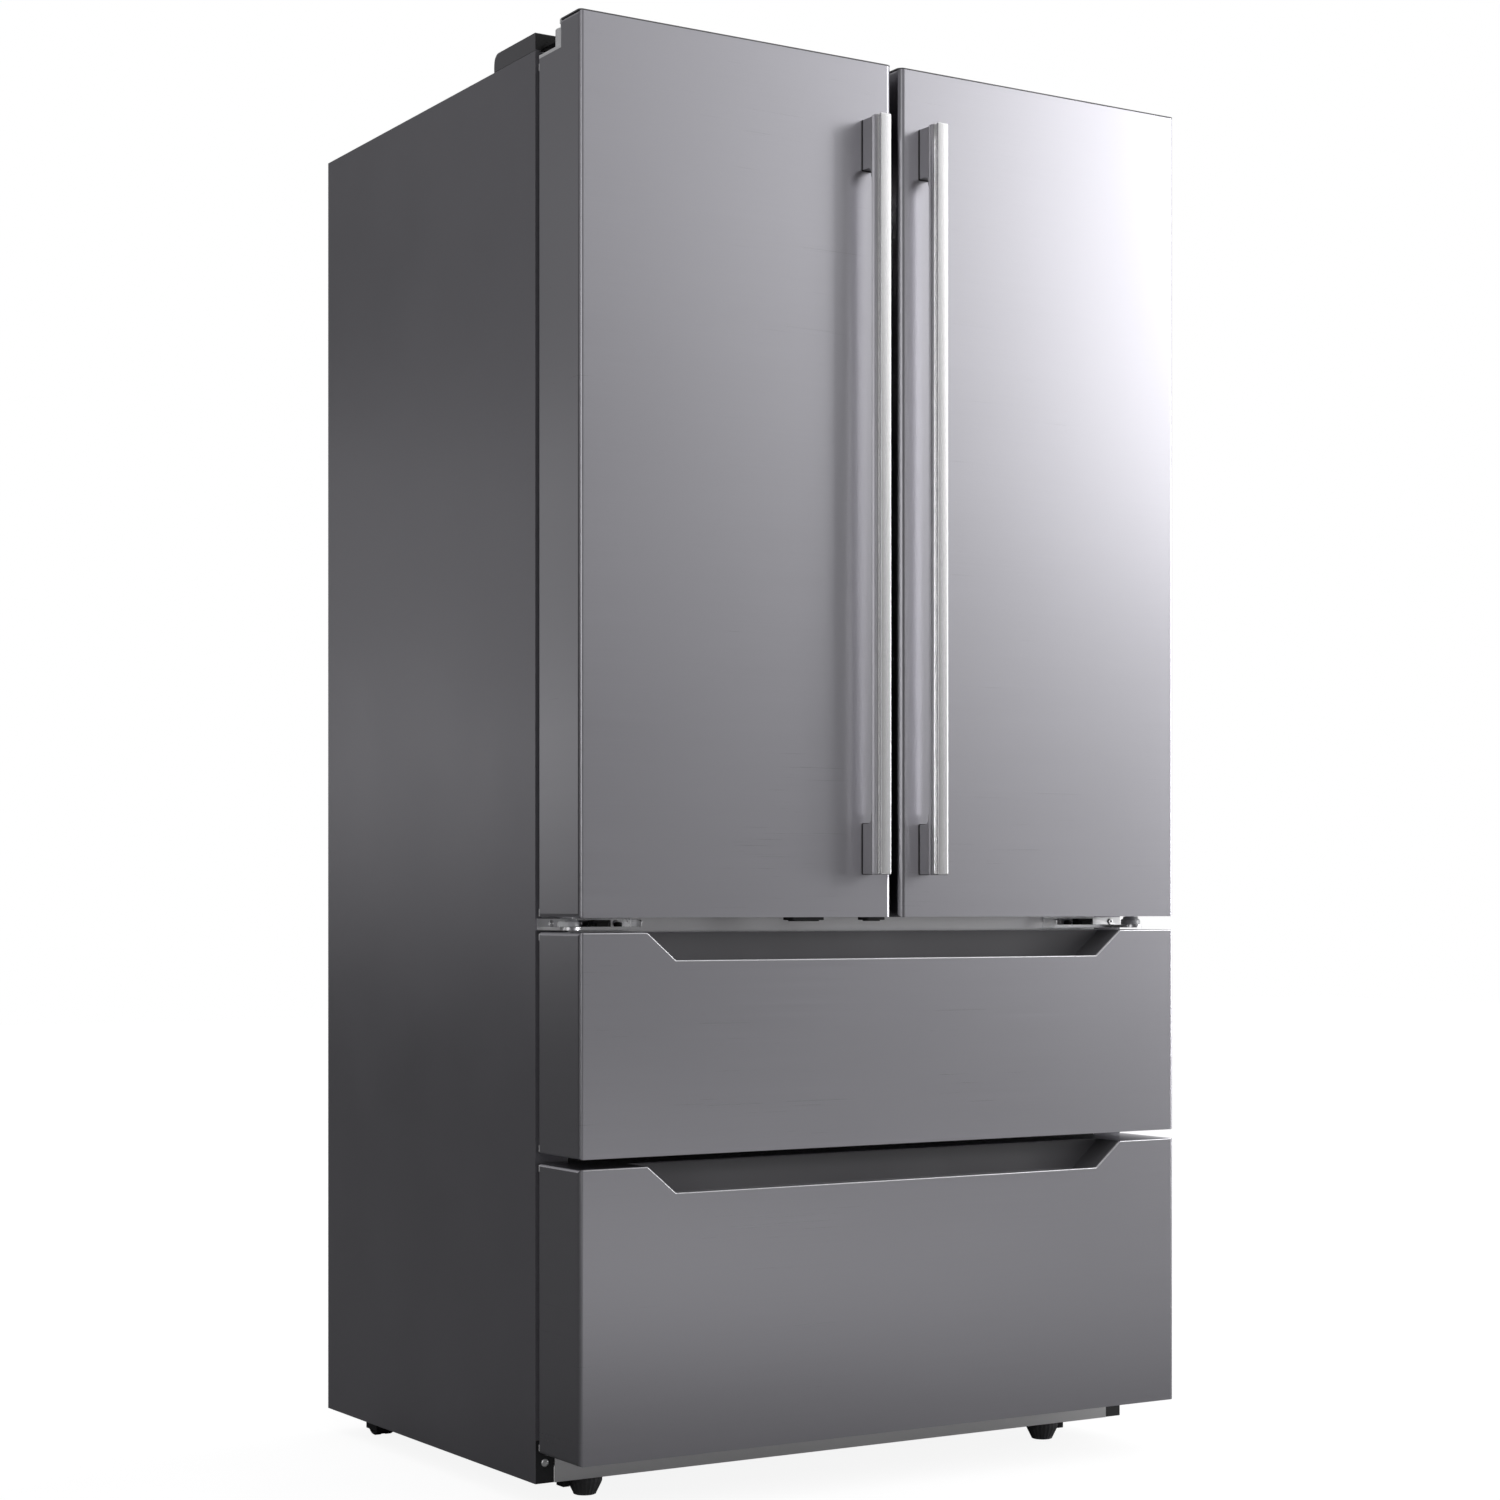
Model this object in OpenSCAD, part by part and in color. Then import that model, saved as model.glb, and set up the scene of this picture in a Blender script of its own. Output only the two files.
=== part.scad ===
// French door refrigerator: two swinging doors over two drawers, in millimetres.
// +X is to the right of someone facing the doors, +Y to the back, +Z up. Floor at Z = 0.

/* [Overall] */
// Width over the cabinet sides
body_w = 908; // [900:1:916]
// Depth over the handles
total_d = 784; // [780:1:790]
// Height of the cabinet's underside above the floor
clear_h = 30; // [28:1:32]
// Height of the cabinet box itself
cab_h = 1745; // [1740:1:1760]

/* [Doors and drawers] */
// Thickness of the doors and drawer fronts
door_t = 104; // [102:1:105]
// Width of the gap between the two doors
door_gap = 12; // [11:1:14]
// How far the handles stand out from the doors
handle_out = 42; // [40:1:44]
// Width of a handle's bar
handle_w = 17; // [15:1:19]
// Length of the door handles
handle_l = 949; // [900:1:980]
// Half width of the drawer pocket at its top
pocket_w = 362; // [340:1:366]

/* [Inside] */
// Height of the lower pair of shelves
shelf_a = 1193; // [1185:1:1200]
// Height of the upper pair of shelves
shelf_b = 1433; // [1425:1:1440]
// Wall of bins and baskets
bin_t = 2.6; // [2.4:0.1:3]

/* [Hidden] */
hw = body_w/2;                  // half width
yh = -total_d/2;                // front of the handles
yf = yh + handle_out;           // front of the doors
yr = yf + door_t;               // rear of the doors
yc = yr + 10;                   // front of the cabinet
yb = total_d/2;                 // rear of the cabinet
zt = clear_h + cab_h;           // top of the cabinet
lx = hw - 46;                   // inside of the liners
gx = door_gap/2;
// doors
dz0 = 720; dz1 = zt + 22;
uz0 = 433; uz1 = 702;           // upper drawer
wz0 = 69;  wz1 = 421;           // lower drawer
// hinge axis
ax = hw - 20; ay = yf + 66;
steel = "#a9a9ad"; dark = "#4a494d"; white = "#f0f1f1"; black = "#1b1b1d";

function arc(cx, cy, r, a0, a1, n = 6) = [for (i = [0:n]) [cx + r*cos(a0 + (a1-a0)*i/n), cy + r*sin(a0 + (a1-a0)*i/n)]];
// a rectangle with its four corner radii: low left, low right, high right, high left
function rr(x0, y0, x1, y1, r) = concat(
    arc(x0+r[0], y0+r[0], r[0], 180, 270), arc(x1-r[1], y0+r[1], r[1], 270, 360),
    arc(x1-r[2], y1-r[2], r[2], 0, 90), arc(x0+r[3], y1-r[3], r[3], 90, 180));
module box(a, b) translate(a) cube([b[0]-a[0], b[1]-a[1], b[2]-a[2]]);
module zprism(p, z0, z1) translate([0,0,z0]) linear_extrude(z1-z0) polygon(p);
module yprism(p, y0, y1) translate([0,y1,0]) rotate([90,0,0]) linear_extrude(y1-y0) polygon(p);
module xprism(p, x0, x1) translate([x0,0,0]) rotate([90,0,90]) linear_extrude(x1-x0) polygon(p);
module zcyl(x, y, z0, z1, r) translate([x,y,z0]) cylinder(h = z1-z0, r = r, $fn = 48);
module ycyl(x, z, y0, y1, r) translate([x,y1,z]) rotate([90,0,0]) cylinder(h = y1-y0, r = r, $fn = 48);
module xcyl(y, z, x0, x1, r) translate([x0,y,z]) rotate([0,90,0]) cylinder(h = x1-x0, r = r, $fn = 48);
module both() { children(); mirror([1,0,0]) children(); }
module ring(x0, x1, z0, z1, w, y0, y1) difference() { box([x0,y0,z0],[x1,y1,z1]); box([x0+w,y0-1,z0+w],[x1-w,y1+1,z1-w]); }
// an open-topped tray: outer corners, wall, floor
module tray(a, b, t) difference() { box(a, b); box([a[0]+t,a[1]+t,a[2]+t],[b[0]-t,b[1]-t,b[2]+1]); }

// ---------------- cabinet ----------------
module cabinet_shell() color(dark) union() {
    difference() { box([-hw,yc,clear_h],[hw,yb,zt]); box([-hw+1,yc-1,clear_h-1],[hw-1,yb+1,zt-1]); }
    both() box([hw-45,yc,83],[hw-0.5,yc+1,zt-0.5]);
    box([-hw+46,yc,zt-45],[hw-46,yc+1,zt-0.5]);
    both() box([hw-45.5,yc,zt-45],[hw-44.5,yc+1,zt-0.5]);
    both() box([hw-16,yb-1,clear_h],[hw-0.5,yb,zt-0.5]);
    box([-hw+15,yb-1,zt-16],[hw-15,yb,zt-0.5]);
}
module back_panel() color("#b5b7b8") union() {
    box([-hw+1.5,yb-6,322],[hw-1.5,yb-5,zt-2]);
    for (x = [-300:150:300]) box([x-20,yb-5.2,380],[x+20,yb-2.5,zt-80]);
    box([-hw+30,yb-5.2,335],[hw-30,yb-2.5,350]);
}
module insulation() color("#e8d9a0") {
    both() box([lx+2.3,yc+1.3,75],[hw-1.3,yb-6.5,zt-1.3]);
    box([-lx-2,yc+1.3,zt-43.7],[lx+2,yb-6.5,zt-1.3]);
    box([-lx-2,332.3,349],[lx+2,yb-6.5,zt-44]);
    box([-lx-2,yc+1.3,676.3],[lx+2,332,745.7]);
    box([-lx-2,yc+1.3,73],[lx+2,165,98.7]);
    box([-lx-2,165.3,73],[lx+2,197,348.7]);
    box([-lx-2,197.3,317],[lx+2,yb-6.5,348.7]);
}
module fridge_liner() color(white) union() {
    difference() { box([-lx-2,yc+1.6,746],[lx+2,332,zt-44]); box([-lx,yc-1,748],[lx,330,zt-46]); }
    // moulded ribs that stiffen the side walls
    both() for (z = [1060,1300,1560]) xprism([[-150,z-5],[296,z-5],[300,z],[296,z+5],[-150,z+5],[-154,z]], lx-3, lx+0.5);
}
module freezer_liner() color(white) difference() {
    xprism([[yc+1.6,99],[165,99],[165,349],[332,349],[332,676],[yc+1.6,676]], -lx-2, lx+2);
    xprism([[yc-1,101],[163,101],[163,351],[330,351],[330,674],[yc-1,674]], -lx, lx);
}
module divider_trim() color("#b9b9bc") box([-lx-0.7,yc,675],[lx+0.7,yc+1,747]);
module freezer_rail() color(black) union() {
    box([-lx+0.3,yc,405],[lx-0.3,yc+60,449]);
}
module base_frame() color(black) difference() {
    union() {
        both() difference() { box([hw-25.7,yc+2,clear_h+0.5],[hw-1.3,385,74.5]); box([hw-27,yc+4,clear_h+2.5],[hw-3.3,386,72.5]); }
        both() box([hw-26,yc,clear_h],[hw-1,yc+1,82.7]);
        both() box([hw-26,yc,clear_h],[hw-1,yc+3,74.5]);
        box([-hw+25.8,yc,50],[hw-25.8,yc+1,82.6]);
        box([-lx-0.7,yc,82.5],[lx+0.7,yc+1,99]);
        box([-hw+25.8,yc,70],[hw-25.8,-150,72]);
        box([-hw+25.8,-152,45],[hw-25.8,-150,72]);
        both() zcyl(358,-185,40,70.5,14);
        both() box([382,-190,12],[391,-172,71]);
        box([-hw+25.8,197,35],[hw-25.8,385,38]);
        both() for (x = [389,418.5]) box([x,303,8],[x+2,337,66]);
        both() xcyl(320,21,389,420.5,5);
    }
    both() zcyl(358,-185,39,69,6.05);
    both() box([391.2,290,34],[418.3,350,39]);
}
module toe_grille() color("#a9a9ad") box([-hw+26,yc-2,clear_h],[hw-26,yc-0.3,67]);
module top_hinges() color("#8a8a8e") both() union() {
    difference() {
        zprism(concat(arc(ax,ay,11,180,360,16), [[ax+11,yc+3],[ax-20,yc+3+14],[ax-20,yc+90],[hw-10,yc+90],[hw-10,yc+14],[ax+9,yc+3]]) , zt+3, zt+7);
        zcyl(0,0,0,1,1);
    }
    zcyl(ax,ay,zt-40,zt+10,7);
    zcyl(ax,ay,zt-11.5,zt+4,10.5);
    box([ax-20,yc+16,zt+0.2],[hw-10,yc+90,zt+3.5]);
}
module hinge_covers() color(dark) both() difference() {
    xprism(concat([[yc+0.3,zt+0.2],[yc+111,zt+0.2]], arc(yc+99,zt+10,12,0,90), [[yc+0.3,zt+22]]), hw-78, hw);
    box([hw-76,yc+14,zt-1],[hw-2,yc+96,zt+20]);
    box([ax-14,yc-1,zt-1],[ax+12,yc+15,zt+9]);
}
module middle_hinges() color("#c2c2c5") both() union() {
    // the plate in the gap, with the arm to the pin
    zprism(concat([[320,yc-0.3],[320,yc-26],[ax-28,yc-26]], arc(ax,ay,15,200,340,12), [[hw-4,yc-14],[hw-2,yc-0.3]]), 704.5, 708.5);
    box([320,yc-3,704.5],[hw-2,yc-0.3,718.5]);
    box([320,yc-26,704.5],[323,yc-0.3,717.5]);
    zcyl(ax,ay,704.5,745,7);
}
module screws() color("#c9c9cc") {
    both() ycyl(hw-13,55,yc-2,yc-0.3,5);
    both() for (x = [hw-20,hw-60,hw-110]) ycyl(x,712.5,yc-5,yc-3.2,4);
    both() for (y = [yc+40,yc+75]) zcyl(ax-8,y,zt+7.3,zt+10,5);
    for (x = [-400,-200,0,200,400]) ycyl(x,310,yb-3.9,yb-1.8,4);
    for (x = [-400,-200,0,200,400]) ycyl(x,45,yb-3.9,yb-1.8,4);
}
module shelf_tracks() color("#d8d9da") difference() {
    union() {
        both() box([lx-24,326.3,980],[lx-12,329.8,1700]);
        both() box([10,314.3,980],[22,317.7,1700]);
    }
    both() for (z = [1000:48:1680]) { box([lx-20,320,z],[lx-16,331,z+20]); box([14,310,z],[18,316.5,z+20]); }
}
module shelf_glasses() color([0.8,0.9,0.9,0.4]) {
    box([-lx+6,-107.7,940],[lx-6,291.7,944]);
    both() for (z = [shelf_a, shelf_b]) box([8,-97.7,z],[lx-8,291.7,z+4]);
}
module shelf_frames() color("#e9eaea") {
    both() for (z = [shelf_a, shelf_b]) {
        xprism(rr(-112,z-8,-98,z+7,[5,1,1,5]), 6, lx-6);
        xprism(rr(292,z-6,306,z+8,[1,1,2,2]), 6, lx-6);
        for (x = [10, lx-13]) xprism([[-96,z-0.4],[-96,z-9],[150,z-20],[308,z-38],[x<50?313.8:325.8,z-38],[x<50?313.8:325.8,z-0.4]], x, x+3);
    }
    // crisper deck: front and rear bars, centre wall and runners
    xprism(rr(-120,934,-108,947,[5,1,1,5]), -lx+4, lx-4);
    xprism(rr(292,932,306,946,[1,1,2,2]), -lx+4, lx-4);
    box([-2.2,-95,748.3],[2.2,291,939]);
    both() box([2.2,-95,912],[6.8,290,916]);
    both() box([lx-6.5,-95,912],[lx-0.3,290,939]);
}
module air_ducts() color("#eef0f0") {
    difference() {
        box([-120,318,985],[120,329.7,1700]);
        for (z = [1060:120:1660], x = [-110,40]) box([x,316,z],[x+70,322,z+14]);
    }
    difference() {
        union() { box([-lx+4,276,353],[lx-4,279,671]); ycyl(0,610,279,290,18); ycyl(0,610,289,318,3); }
        for (x = [-320:80:320]) { box([x-28,270,645],[x+28,280,653]); }
        for (a = [0:45:315]) translate([0,0,610]) rotate([0,a,0]) box([26,270,-5],[52,280,5]);
    }
}
module control_panel() color("#2b2d31") xprism(rr(yc+76,zt-60,yc+156,zt-46.3,[4,4,1,1]), -110, 110);
module light_lens() color("#fdfdf5") xprism(rr(-40,zt-56,40,zt-46.3,[4,4,1,1]), -150, 150);
module evaporator() color("#c3c7c9") union() {
    for (x = [-290:40:310]) box([x,288,375],[x+0.8,326,540]);
    for (z = [395:32:525]) xcyl(307,z,-300,315,4.5);
    both() xprism([[300,391],[314,391],[314,529],[300,529]], 311, 316);
}
module fan(r, rh, hb, n, t) difference() {
    union() { translate([0,0,-t/2]) cylinder(h = t, r = rh, $fn = 48);
        for (i = [0:n-1]) rotate([0,0,i*360/n]) translate([(r+rh)/2-1,0,0]) rotate([28,0,0]) cube([r-rh,r*0.62,1.6], center = true); }
    translate([0,0,-t]) cylinder(h = 2*t, r = hb, $fn = 48);
}
module evaporator_fan() color("#dddddd") translate([0,302,610]) rotate([90,0,0]) fan(48,14,3.05,5,18);
module compressor() color("#202124") {
    union() { translate([190,290,0]) rotate_extrude($fn = 72) polygon(concat([[0,52]], arc(50,80,28,270,330,4), [[78,92],[78,150]], arc(48,165,30,0,90,6), [[0,195]]));
        zcyl(238,290,120,215,5); zcyl(150,262,150,222,4); }
    for (x = [120,260], y = [235,345]) difference() { zcyl(x,y,38.2,52,11); zcyl(x,y,50,53,4); }
    box([105,222,52.3],[275,358,55]);
}
module condenser() color("#2a2b2d") {
    union() {
        for (x = [-370:24:-80]) box([x,222,84],[x+0.8,362,238]);
        for (z = [104:38:228], y = [250,292,334]) xcyl(y,z,-378,-72,4);
    }
    union() { box([-8,272,38.3],[12,308,150]); xcyl(290,165,-8,22,22); xcyl(290,165,-40,-7,4); }
}
module condenser_fan() color("#3a3b3d") translate([-24,290,165]) rotate([0,90,0]) fan(68,17,4.05,5,22);
module drain_pan() color(black) tray([-388,205,38.3],[-66,376,64],2);
module machine_cover() color("#8f9193") difference() {
    box([-hw+17,yb-4.8,32],[hw-17,yb-3.9,321]);
    for (x = [-360:24:-90], z = [120,190]) box([x,yb-6,z],[x+8,yb-2,z+50]);
    for (x = [110:24:320]) box([x,yb-6,200],[x+8,yb-2,250]);
    ycyl(-380,80,yb-8,yb,10.2);
}
module cord_gland() color(black) difference() {
    union() { ycyl(-380,80,yb-8,yb,10); ycyl(-380,80,yb-3.8,yb-2.2,14); ycyl(-380,80,yb-9,yb-4.9,13); }
    ycyl(-380,80,yb-12,yb+2,4.2);
}
module slide_outers() color("#b9babc") {
    both() box([lx-3.7,yc+10,480],[lx-0.3,224,515]);
    both() box([lx-3.7,yc+10,230],[lx-0.3,150,265]);
}
// ---------------- feet and rollers ----------------
module foot(x) { translate([x,-185,0]) { cylinder(h = 16, r1 = 14.5, r2 = 22, $fn = 64); translate([0,0,15.9]) cylinder(h = 12, r = 22, $fn = 64); translate([0,0,27]) cylinder(h = 41, r = 6, $fn = 48); } }
module leveling_foot_left() color("#77777a") union() foot(-358);
module leveling_foot_right() color("#77777a") union() foot(358);
module roller(x) difference() { xcyl(320,21,x-13.2,x+13.2,21); xcyl(320,21,x-20,x+20,5.06); }
module rear_roller_left() color(black) roller(-404.7);
module rear_roller_right() color(black) roller(404.7);
// ---------------- crispers ----------------
module crisper() union() {
    difference() { union() { box([10,-100,754],[lx-10,289,925]); box([4,-94,918.3],[lx-7,289,921.3]);
            xprism(rr(-112,906,-99,925,[5,1,1,3]), 60, lx-60); }
        box([10+bin_t,-95,754+bin_t],[lx-10-bin_t,289-bin_t,930]); box([3,-96,917],[9.9,-94,922]); }
}
module crisper_left() color([0.85,0.9,0.92,0.6]) mirror([1,0,0]) crisper();
module crisper_right() color([0.85,0.9,0.92,0.6]) crisper();
// ---------------- doors (right-hand one; the left is its mirror) ----------------
module door_block(i) intersection() {
    zprism(rr(gx+i,yf+i,hw-i,yr+(i>0?20:0),[8-min(i,3),5-min(i,3),1.5,1.5]), dz0+i, dz1-i);
    yprism(rr(gx+i,dz0+i,hw-i,dz1-i,[5-min(i,3),5-min(i,3),6-min(i,3),5-min(i,3)]), yf-5, yr+25);
}
module door_notch(e) box([hw-42-e,yf+47-e,dz1-35-e],[hw+5,yr+30,dz1+5]);
module door_skin() difference() {
    door_block(0);
    door_notch(0);
    difference() { door_block(1); door_notch(1); }
    zcyl(ax,ay,dz1-40,dz1-30,7.06);
    zcyl(ax,ay,dz0-1,dz0+3,7.06);
}
module door_panel() union() {
    difference() {
        intersection() { door_block(1.3); box([0,yf,0],[hw,yr,2000]); }
        door_notch(1.3);
        zcyl(ax,ay,dz1-66,dz1-30,7.06);
        zcyl(ax,ay,dz0-1,dz0+27,7.06);
    }
    difference() {
        box([38,yr-0.5,764],[hw-54,yr+40,1713]);
        box([70,yr-1,796],[hw-86,yr+41,1681]);
    }
    // corner pads that show in the gap
    for (z = [dz0+1.4,dz1-48]) box([hw-8,yr-0.2,z],[hw-2.5,yr+5,z+9]);
}
module door_gasket() ring(8.3,ax-1,733,1756,13,yr,yc-0.3);
module door_bin(z0, z1, y1) union() {
    difference() { tray([73,yr+0.6,z0],[hw-89,y1,z1],bin_t); box([90,y1-10,z1-14],[hw-106,y1+1,z1-8]); }
}
function side_arc(c, s) = [for (i = [0:6]) [c + s*(handle_w/2 + 0.9*(1-pow((i-3)/3,2))), s > 0 ? yh+3.2+i*2.4 : yh+17.6-i*2.4]];
module handle_bar(c) union() {
    z0 = 1722-handle_l; z1 = 1722; w = handle_w/2;
    zprism(concat([for (i = [-4:4]) [c+(w-1.1)*i/4, yh+0.8*pow(i/4,2)]],
        [[c+w-1.1,yh+1.7],[c+w,yh+1.7]], side_arc(c,1), arc(c+w-4,yh+18,4,0,90,4), arc(c-w+4,yh+18,4,90,180,4), side_arc(c,-1), [[c-w,yh+1.7],[c-w+1.1,yh+1.7]]), z0, z1);
    for (s = [0,1]) translate([0,0,s*(z0+z1)]) mirror([0,0,s])
        xprism(concat([[yh+21,z0+0.8],[yf,z0+0.8],[yf,z0+64]], [[yf-6,z0+64]], arc(yh+30,z0+72,8,270,180,5), [[yh+21,z0+72]]), c-w+0.6, c+w-0.6);
}
module left_door_skin() color(steel) mirror([1,0,0]) door_skin();
module right_door_skin() color(steel) door_skin();
module left_door_panel() color(white) {
    mirror([1,0,0]) door_panel();
    for (z = [815,1240,1650]) union() {
        box([-32,yr+0.1,z],[-22,-219,z+14]);
        box([-32,-235,z],[-16,-219,z+14]);
        zcyl(-23,-226,z-9,z+23,3);
    }
}
module right_door_panel() color(white) door_panel();
module left_door_gasket() color("#d9d9d9") mirror([1,0,0]) door_gasket();
module right_door_gasket() color("#d9d9d9") door_gasket();
module left_door_handle() color("#c5c5c8") handle_bar(-43.6);
module right_door_handle() color("#c5c5c8") handle_bar(43.6);
module left_door_bins() color([0.85,0.9,0.95,0.5]) mirror([1,0,0]) { door_bin(800,895,-188); door_bin(1080,1190,-136); door_bin(1390,1500,-136); }
module right_door_bins() color([0.85,0.9,0.95,0.5]) {
    door_bin(800,895,-188); door_bin(1080,1190,-136); door_bin(1340,1450,-136);
    difference() {
        union() { box([73,yr+0.6,1560],[hw-89,-146,1563]); box([73,yr+0.6,1560],[75.6,-146,1679]); box([hw-91.6,yr+0.6,1560],[hw-89,-146,1679]);
            box([73,yr+0.6,1676],[hw-89,-146,1679]); box([73,-148.6,1560],[hw-89,-146,1588]); }
        xcyl(-152,1668,70,hw-80,2.55);
    }
}
module dairy_lid() color([0.8,0.88,0.95,0.6]) union() {
    box([76.6,-155,1591],[hw-92.6,-151.5,1671]);
    xcyl(-152,1668,76.6,hw-92.6,3.6);
    xcyl(-152,1668,73.2,hw-89.2,2.5);
    box([180,-151.6,1591],[260,-147.5,1597]);
}
module mullion() color(dark) difference() {
    union() { box([-32.5,-226,757],[-13.5,-173,1719]); zcyl(-23,-226,757,1719,9.5); }
    for (z = [815,1240,1650]) { box([-35,-240,z-0.6],[-10,-204,z+14.6]); zcyl(-23,-226,z-10,z+24,3.06); }
}
// ---------------- drawers ----------------
module front_block(i, z0, z1) intersection() {
    zprism(rr(-hw+i,yf+i,hw-i,yr+(i>0?20:0),[5-min(i,3),5-min(i,3),1.5,1.5]), z0+i, z1-i);
    yprism(rr(-hw+i,z0+i,hw-i,z1-i,[4-min(i,2),4-min(i,2),4-min(i,2),4-min(i,2)]), yf-5, yr+25);
}
module drawer_skin(z0, z1) difference() {
    front_block(0,z0,z1);
    front_block(1,z0,z1);
    yprism([[-pocket_w+40,z1-34],[pocket_w-40,z1-34],[pocket_w,z1],[pocket_w,z1+5],[-pocket_w,z1+5],[-pocket_w,z1]], yf-1, yf+47.3);
}
// the pocket: a trapezoid seen from the front, a trough in section
module pocket(z1) {
    difference() {
        intersection() {
            xprism([[yf+1.2,z1-35],[yf+8,z1-51],[yf+36,z1-51],[yf+47,z1-38],[yf+47,z1],[yf+1.2,z1]], -400, 400);
            yprism([[-pocket_w+60,z1-51],[pocket_w-60,z1-51],[pocket_w-0.3,z1-0.3],[-pocket_w+0.3,z1-0.3]], yf, yf+60);
        }
        intersection() {
            xprism([[yf-1,z1-34],[yf+5,z1-34],[yf+8,z1-49],[yf+35,z1-49],[yf+45,z1-37],[yf+45,z1+1],[yf-1,z1+1]], -400, 400);
            yprism([[-pocket_w+60,z1-49],[pocket_w-60,z1-49],[pocket_w-2,z1-0.3],[pocket_w-2,z1+2],[-pocket_w+2,z1+2],[-pocket_w+2,z1-0.3]], yf-2, yf+60);
        }
    }
}
module drawer_core(z0, z1, pz0, pz1) intersection() {
    front_block(1.3,z0,z1);
    core_blocks(z0,z1,pz0,pz1);
}
module core_blocks(z0, z1, pz0, pz1) {
    union() { box([-hw+1.3,yr-16,z0+1.5],[hw-1.3,yr,z1-1.5]); box([-lx+22,yr-0.5,pz0],[lx-22,yr+20,pz1]);
        for (x = [-hw+2.5,hw-8], z = [z0+2,z1-10]) box([x,yr-0.2,z],[x+5.5,yr+5,z+8]); }
    box([-hw+1.3,yf+1.3,z0+1.5],[hw-1.3,yr-16.3,z1-51.5]);
    box([-hw+1.3,yf+47.5,z1-51.2],[hw-1.3,yr-16.3,z1-1.3]);
    both() yprism([[pocket_w-58,z1-51.2],[hw-1.3,z1-51.2],[hw-1.3,z1-1.3],[pocket_w+1,z1-1.3]], yf+1.3, yf+47.2);
}
module basket(z0, z1, y1, zr) union() {
    tray([-lx+26,yr+20.5,z0],[lx-26,y1,z1],3);
    both() box([lx-26.5,yr+30,zr],[lx-13,y1-12,zr+3]);
    tray_rim(z1, y1);
}
module tray_rim(z1, y1) difference() { box([-lx+22,yr+20.5,z1-4],[lx-22,y1+3,z1]); box([-lx+28,yr+23.5,z1-5],[lx-28,y1-3,z1+1]); }
module drawer_rails(z, y1) both() union() {
    box([lx-11.5,yc+14,z+6],[lx-7.7,y1,z+29]);
    box([lx-24,yc+14,z+3],[lx-7.7,y1,z+6]);
    box([lx-14,yr+0.2,z-2],[lx-7.7,yc+16,z+40]);
}
module slide_middles(z, y1) both() box([lx-7.4,yc+14,z+4],[lx-4,y1,z+31]);
module upper_drawer_skin() color(steel) drawer_skin(uz0,uz1);
module upper_drawer_core() color(white) drawer_core(uz0,uz1,462,664);
module upper_drawer_pocket() color("#3c3c3f") pocket(uz1);
module upper_drawer_gasket() color("#d9d9d9") ring(-lx-20,lx+20,437,692,12,yr,yc-0.3);
module upper_drawer_basket() color([0.93,0.94,0.95]) basket(462,640,250,489.3);
module upper_drawer_rails() color("#b9babc") drawer_rails(480,216);
module upper_slide_middles() color("#a9aaac") slide_middles(480,220);
module lower_drawer_skin() color(steel) drawer_skin(wz0,wz1);
module lower_drawer_core() color(white) drawer_core(wz0,wz1,112,394);
module lower_drawer_pocket() color("#3c3c3f") pocket(wz1);
module lower_drawer_gasket() color("#d9d9d9") ring(-lx-20,lx+20,75,417,12,yr,yc-0.3);
module lower_drawer_basket() color([0.93,0.94,0.95]) basket(112,392,138,239.3);
module lower_drawer_rails() color("#b9babc") drawer_rails(230,142);
module lower_slide_middles() color("#a9aaac") slide_middles(230,146);

cabinet_shell();
back_panel();
insulation();
fridge_liner();
freezer_liner();
divider_trim();
freezer_rail();
base_frame();
toe_grille();
top_hinges();
hinge_covers();
middle_hinges();
screws();
shelf_tracks();
shelf_glasses();
shelf_frames();
air_ducts();
control_panel();
light_lens();
evaporator();
evaporator_fan();
compressor();
condenser();
condenser_fan();
drain_pan();
machine_cover();
cord_gland();
slide_outers();
leveling_foot_left();
leveling_foot_right();
rear_roller_left();
rear_roller_right();
crisper_left();
crisper_right();
left_door_skin();
left_door_panel();
left_door_gasket();
left_door_handle();
left_door_bins();
mullion();
right_door_skin();
right_door_panel();
right_door_gasket();
right_door_handle();
right_door_bins();
dairy_lid();
upper_drawer_skin();
upper_drawer_core();
upper_drawer_pocket();
upper_drawer_gasket();
upper_drawer_basket();
upper_drawer_rails();
upper_slide_middles();
lower_drawer_skin();
lower_drawer_core();
lower_drawer_pocket();
lower_drawer_gasket();
lower_drawer_basket();
lower_drawer_rails();
lower_slide_middles();
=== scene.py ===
"""French door refrigerator: materials, detail pieces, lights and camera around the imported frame."""
import math
import random

import bmesh
import bpy
from mathutils import Matrix, Vector


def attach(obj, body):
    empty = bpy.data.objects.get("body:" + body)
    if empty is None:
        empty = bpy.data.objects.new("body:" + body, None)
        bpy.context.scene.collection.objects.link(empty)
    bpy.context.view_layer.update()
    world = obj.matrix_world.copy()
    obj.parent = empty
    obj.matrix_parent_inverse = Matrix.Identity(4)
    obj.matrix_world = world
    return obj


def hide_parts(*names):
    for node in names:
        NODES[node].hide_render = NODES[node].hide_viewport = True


random.seed(7)
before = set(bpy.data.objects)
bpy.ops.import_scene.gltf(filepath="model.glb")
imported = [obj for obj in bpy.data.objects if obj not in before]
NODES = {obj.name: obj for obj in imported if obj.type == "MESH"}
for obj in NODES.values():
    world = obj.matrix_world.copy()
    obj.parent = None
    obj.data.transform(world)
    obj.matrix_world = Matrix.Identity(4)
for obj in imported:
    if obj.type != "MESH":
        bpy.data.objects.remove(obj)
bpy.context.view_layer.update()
scene = bpy.context.scene
COL = scene.collection


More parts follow.
